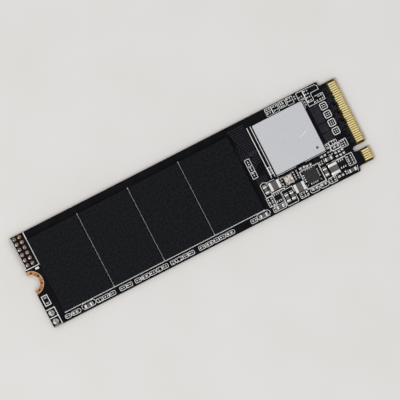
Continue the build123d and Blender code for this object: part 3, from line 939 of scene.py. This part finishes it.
class DRIVE_OT_chip_parts(bpy.types.Operator):
    """Finish the capacitors, resistors, inductors and the timing crystal"""

    bl_idname = "drive.chip_parts"
    bl_label = "Chip parts"

    def execute(self, context):
        finish = context.scene.drive_chips
        # Barrel-plated tin: bright, softly dimpled.
        tin = plain_surface(
            "barrel_plated_tin",
            (finish.terminal_color, linear("#dddbd7")),
            (0.2, 0.4),
            0.15,
            0.002,
            Metallic=1.0,
        )
        # Fired barium titanate: dense, grey brown and faintly speckled.
        ceramic = plain_surface(
            "fired_capacitor_ceramic",
            (finish.capacitor_color, linear("#4c4744")),
            (0.35, 0.55),
            0.25,
            0.003,
        )
        # The smallest capacitors are fired from a darker ceramic: nearly black, faintly speckled.
        dark_ceramic = plain_surface(
            "fired_dark_ceramic", (finish.small_color, linear("#151312")), (0.35, 0.55), 0.2, 0.003
        )
        # Pressed iron powder: dull grey with coarse grains.
        ferrite = plain_surface(
            "pressed_ferrite",
            (finish.inductor_color, linear("#474341")),
            (0.45, 0.65),
            0.3,
            0.005,
            detail=4.0,
        )
        # Fired glass over the resistor's film: black and glossy.
        glaze = plain_surface(
            "fired_resistor_glaze", (linear("#0d0d0f"), linear("#19191c")), (0.2, 0.35), 0.3, 0.002
        )
        # Glazed alumina under a rolled and crinkled cover that glitters.
        cream = plain_surface(
            "glazed_white_ceramic", (linear("#c9beae"), linear("#9c9284")), (0.3, 0.5), 0.2, 0.003
        )
        cover = plain_surface(
            "crinkled_crystal_cover",
            (linear("#fdf6ee"), linear("#77695d")),
            (0.2, 0.45),
            0.4,
            0.02,
            detail=4.0,
            Metallic=0.7,
        )
        for node, material, edge in (
            ("inductor_bodies", ferrite, 0.05),
            ("large_capacitor_bodies", ceramic, 0.03),
            ("medium_capacitor_bodies", ceramic, 0.02),
            ("small_capacitor_bodies", dark_ceramic, 0.015),
            ("coupling_capacitor_bodies", dark_ceramic, 0.015),
            ("resistor_bodies", glaze, 0.015),
            ("crystal_base", cream, 0.03),
            ("crystal_lid", cover, 0.05),
            ("inductor_terminals", tin, 0.06),
            ("large_capacitor_terminals", tin, 0.05),
            ("medium_capacitor_terminals", tin, 0.035),
            ("resistor_terminals", tin, 0.025),
            ("small_capacitor_terminals", tin, 0.025),
            ("coupling_capacitor_terminals", tin, 0.025),
            ("power_manager_terminals", tin, 0.02),
            ("load_switch_leads", tin, 0.02),
        ):
            dress(node, material, edge)
        return {"FINISHED"}


class DRIVE_OT_print(bpy.types.Operator):
    """Print the fine white outlines and lines round the parts"""

    bl_idname = "drive.legend"
    bl_label = "Print"

    def execute(self, context):
        finish = context.scene.drive_print
        # Screened epoxy ink: matt white, a little thin and uneven.
        ink = plain_surface(
            "screened_white_ink",
            (finish.ink_color, linear("#dededb")),
            (0.5, 0.65),
            0.35,
            0.002,
            detail=3.0,
        )
        dress("legend_lines", ink)
        width, bold = finish.line_width / MM, finish.bold_width / MM
        low, high = BOARD_TOP, BOARD_TOP + finish.ink_height / MM
        mesh = bmesh.new()
        for start, end, ends in NEAR_ROW:
            if ends == "point":
                path = pointed((start, ROW_NEAR), (end, ROW_POINTED_FAR), ROW_POINT_CUT)
            else:
                path = rounded((start, ROW_NEAR), (end, ROW_FAR), ROW_CORNERS[ends])
            ribbon(mesh, path, width, low, high, closed=True)
        for x0, y0, x1, y1, corner in FRAMES:
            ribbon(mesh, rounded((x0, y0), (x1, y1), corner), width, low, high, closed=True)
        for path in LINES:
            ribbon(mesh, path, width, low, high)
        for path in BOLD_LINES:
            ribbon(mesh, path, bold, low, high)
        for k in range(COMB_TICKS):
            x = COMB_REAR + COMB_PITCH * k
            ribbon(mesh, ((x, COMB_NEAR), (x, COMB_FAR)), width, low, high)
        make_piece("fine_print", mesh, ink)
        return {"FINISHED"}


class DRIVE_OT_studio(bpy.types.Operator):
    """Set up the table, the soft lamps and the camera above the card"""

    bl_idname = "drive.studio"
    bl_label = "Table, lamps and camera"

    def execute(self, context):
        finish = context.scene.drive_studio
        # A painted table top: warm off-white with the faintest clouding.
        paint = plain_surface(
            "satin_painted_board", (finish.table_color, linear("#dfdcd8")), (0.5, 0.6), 18.0, 0.01
        )
        mesh = bmesh.new()
        bmesh.ops.create_grid(mesh, x_segments=4, y_segments=4, size=TABLE_REACH)
        data = bpy.data.meshes.new("table_top")
        mesh.to_mesh(data)
        mesh.free()
        data.materials.append(paint)
        table = bpy.data.objects.new("table_top", data)
        table.location.z = BOARD_LOW.z - TABLE_GAP * MM
        context.scene.collection.objects.link(table)

        world = bpy.data.worlds.new("room")
        world.use_nodes = True
        sky = world.node_tree.nodes["Background"]
        sky.inputs["Color"].default_value = linear("#f4f5f7")
        sky.inputs["Strength"].default_value = finish.sky_level
        context.scene.world = world

        lamp = bpy.data.lights.new("window", "AREA")
        lamp.shape = "RECTANGLE"
        lamp.size = WINDOW_SIZE
        lamp.size_y = WINDOW_SIZE
        lamp.energy = finish.key_power
        lamp.color = (1.0, 0.985, 0.96)
        window = bpy.data.objects.new("window", lamp)
        window.location = WINDOW_PLACE
        window.rotation_euler = (-window.location).to_track_quat("-Z", "Y").to_euler()
        context.scene.collection.objects.link(window)

        aim = Vector((*CAMERA_AIM, BOARD_TOP)) * MM
        roll = math.radians(CARD_TURN)
        lean_x, lean_y = (math.tan(math.radians(lean)) for lean in CAMERA_LEAN)
        back = Vector((lean_x, lean_y, 1)).normalized()
        right = Vector((math.sin(roll), math.cos(roll), 0)).cross(back).normalized()
        up = back.cross(right)
        view = bpy.data.cameras.new("camera")
        view.lens = finish.lens
        view.sensor_width = SENSOR_WIDTH
        view.clip_start = NEAREST_SEEN
        camera = bpy.data.objects.new("camera", view)
        turn = Matrix((right, up, back)).transposed().to_4x4()
        camera.matrix_world = Matrix.Translation(aim + back * finish.distance) @ turn
        context.scene.collection.objects.link(camera)
        context.scene.camera = camera
        context.scene.view_settings.view_transform = "Standard"
        return {"FINISHED"}


OPERATORS = (
    DRIVE_OT_board,
    DRIVE_OT_solder,
    DRIVE_OT_packages,
    DRIVE_OT_chip_parts,
    DRIVE_OT_print,
    DRIVE_OT_studio,
)
SETTINGS = {
    "drive_board": BoardSettings,
    "drive_solder": SolderSettings,
    "drive_packages": PackageSettings,
    "drive_chips": ChipSettings,
    "drive_print": PrintSettings,
    "drive_studio": StudioSettings,
}


class DRIVE_PT_finish(bpy.types.Panel):
    """Lists the steps that finish the drive"""

    bl_idname = "DRIVE_PT_finish"
    bl_label = "Drive finish"
    bl_space_type = "VIEW_3D"
    bl_region_type = "UI"
    bl_category = "Drive"

    def draw(self, context):
        for operator in OPERATORS:
            self.layout.operator(operator.bl_idname)
        for name in SETTINGS:
            box = self.layout.box()
            settings = getattr(context.scene, name)
            for key in settings.__annotations__:
                box.prop(settings, key)


def register():
    """Adds the settings, the operators and the panel."""
    for name, group in SETTINGS.items():
        bpy.utils.register_class(group)
        setattr(bpy.types.Scene, name, bpy.props.PointerProperty(type=group))
    for made in (*OPERATORS, DRIVE_PT_finish):
        bpy.utils.register_class(made)


def unregister():
    """Takes them away again."""
    for made in (DRIVE_PT_finish, *reversed(OPERATORS)):
        bpy.utils.unregister_class(made)
    for name, group in SETTINGS.items():
        delattr(bpy.types.Scene, name)
        bpy.utils.unregister_class(group)


def main():
    """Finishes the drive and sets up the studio."""
    register()
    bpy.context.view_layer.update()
    for operator in OPERATORS:
        group, step = operator.bl_idname.split(".")
        getattr(getattr(bpy.ops, group), step)()


if __name__ == "__main__":
    main()
